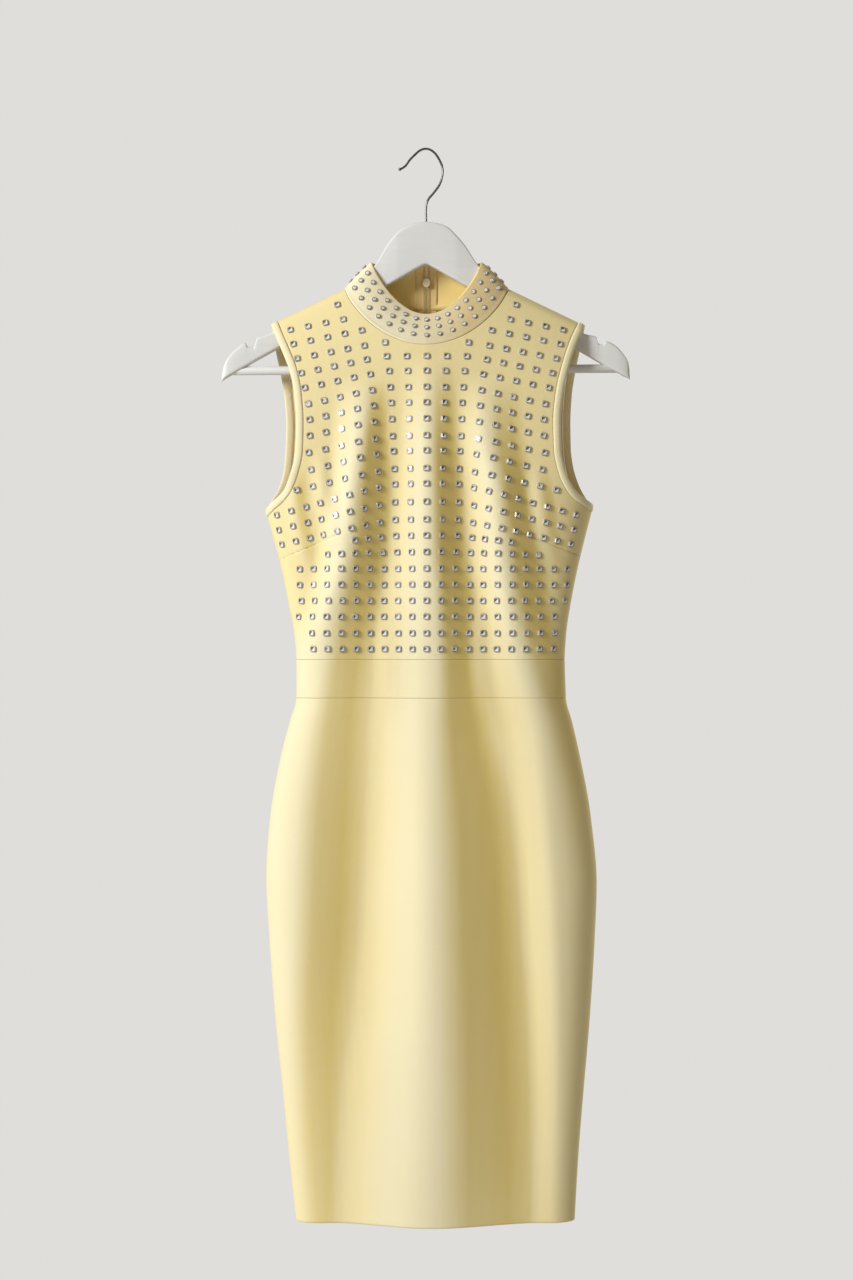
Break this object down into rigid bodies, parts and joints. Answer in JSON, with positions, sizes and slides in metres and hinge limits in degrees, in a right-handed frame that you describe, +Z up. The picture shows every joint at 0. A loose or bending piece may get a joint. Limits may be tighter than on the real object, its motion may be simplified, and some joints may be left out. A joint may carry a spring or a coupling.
{
  "type": "bodycon dress on a hanger",
  "caption": "Sleeveless knee-length bodycon dress in heavy knit with a studded bodice and standing collar, hung on a flat wooden hanger with a wire hook.",
  "frame": {"origin": "underside of the hook's crown, where the hook rests on a rail or peg", "axes": "+Z up along the hook's shank, +X to the right as the front is seen, so the dress's front faces -Y"},
  "size_m": [0.4285, 0.0926, 1.126],
  "materials": {
    "cloth": "pale yellow heavy double knit, matt, with polished square studs",
    "zip_tape": "woven tape",
    "zip_metal": "cream enamel",
    "hanger_paint": "white satin paint on wood",
    "hook_metal": "dark steel wire"
  },
  "bodies": {
    "dress_and_hanger": {"bodice_front": "cloth", "bodice_back_left": "cloth", "bodice_back_right": "cloth", "waistband_front": "cloth", "waistband_back_left": "cloth", "waistband_back_right": "cloth", "skirt_front": "cloth", "skirt_back_left": "cloth", "skirt_back_right": "cloth", "collar": "cloth", "armhole_band_left": "cloth", "armhole_band_right": "cloth", "zip_tape_left": "zip_tape", "zip_tape_right": "zip_tape", "zip_slider": "zip_metal", "hanger_body": "hanger_paint", "hanger_bar": "hanger_paint", "hanger_hook": "hook_metal"},
    "pull_tab": {"zip_pull_tab": "zip_metal"}
  },
  "joints": [
    {"name": "pull_tab_hinge", "type": "hinge", "parent": "dress_and_hanger", "child": "pull_tab", "pos_m": [0, 0.02092, -0.13967], "axis": [1, 0, 0], "range_deg": [0, 115]}
  ]
}
